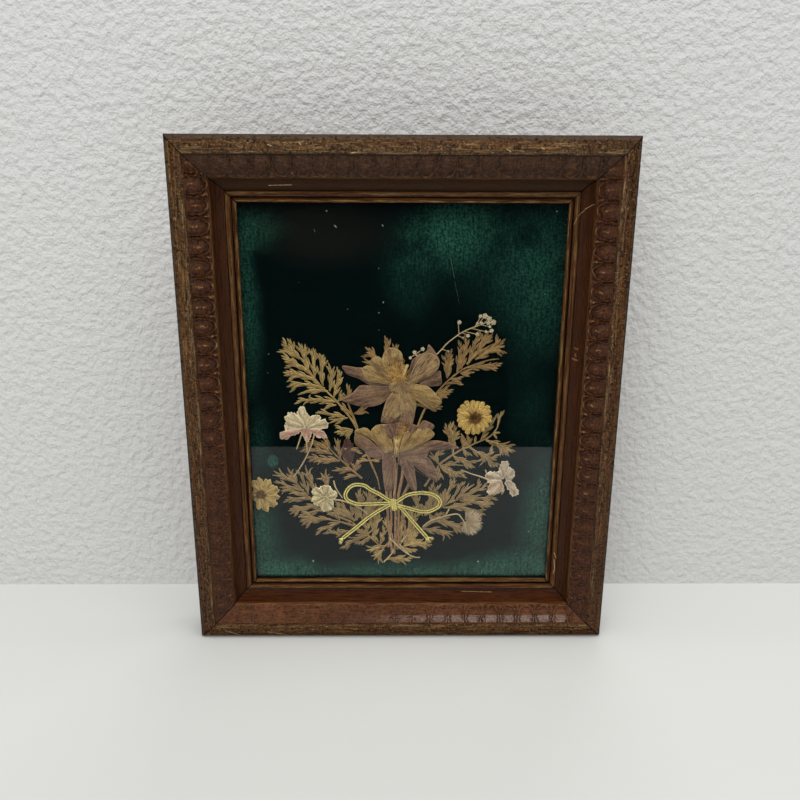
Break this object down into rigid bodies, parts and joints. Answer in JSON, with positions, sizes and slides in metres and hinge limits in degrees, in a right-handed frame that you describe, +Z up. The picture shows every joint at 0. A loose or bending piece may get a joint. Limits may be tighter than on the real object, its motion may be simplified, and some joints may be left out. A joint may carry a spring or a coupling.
{
  "type": "pressed flower frame",
  "caption": "Upright mitred wooden picture frame with a glass pane over pressed flowers and leaves, tied with a gold cord bow, on dark green velvet.",
  "frame": {"origin": "on the floor under the middle of the frame, halfway between its front and the nail heads on its back", "axes": "+X to the viewer's right, +Y from the viewer through the frame to its back, +Z up along the frame's height"},
  "size_m": [0.264, 0.0314, 0.315],
  "materials": {
    "wood": "dark reddish-brown varnish, worn along the outer band",
    "glass": "clear, smooth, a little dusty",
    "velvet": "short-pile velvet on a stiff board, brushed patches",
    "fibreboard": "plain brown board",
    "steel": "dull plated steel",
    "leaf": "dry pressed leaf, tan to olive brown",
    "stem": "dry stalk, brown",
    "petal_mauve": "dry petal, mauve brown with tan centres",
    "petal_yellow": "dry petal, faded yellow with a brown centre",
    "petal_cream": "dry petal, cream to pale pink",
    "gold_cord": "pale gold metallic cord"
  },
  "bodies": {
    "root": {"rail_bottom": "wood", "rail_left": "wood", "rail_right": "wood", "rail_top": "wood", "glass_pane": "glass", "velvet_board": "velvet", "backing_board": "fibreboard", "hanger": "steel", "hanger_nail_1": "steel", "hanger_nail_2": "steel", "point_bottom_1": "steel", "point_bottom_2": "steel", "point_left_1": "steel", "point_left_2": "steel", "point_right_1": "steel", "point_right_2": "steel", "point_top_1": "steel", "point_top_2": "steel", "leaf_behind_white": "leaf", "leaf_bottom_left": "leaf", "leaf_bottom_right": "leaf", "leaf_foot": "leaf", "leaf_inner_left": "leaf", "leaf_inner_low": "leaf", "leaf_low_left": "leaf", "leaf_low_right": "leaf", "leaf_lower_left": "leaf", "leaf_lower_right": "leaf", "leaf_mid_left": "leaf", "leaf_right": "leaf", "leaf_short_left": "leaf", "leaf_thin": "leaf", "leaf_top": "leaf", "leaf_upper_left": "leaf", "leaf_upper_right": "leaf", "stem_1": "stem", "stem_2": "stem", "stem_3": "stem", "stem_4": "stem", "stem_5": "stem", "stalk_white": "stem", "columbine_upper": "petal_mauve", "columbine_lower": "petal_mauve", "petal_dark": "petal_mauve", "daisy": "petal_yellow", "flower_yellow": "petal_yellow", "flower_pale": "petal_cream", "flower_pink": "petal_cream", "flower_tuft": "petal_cream", "flower_white": "petal_cream", "sprig_white": "petal_cream", "gold_bow": "gold_cord"}
  },
  "joints": []
}
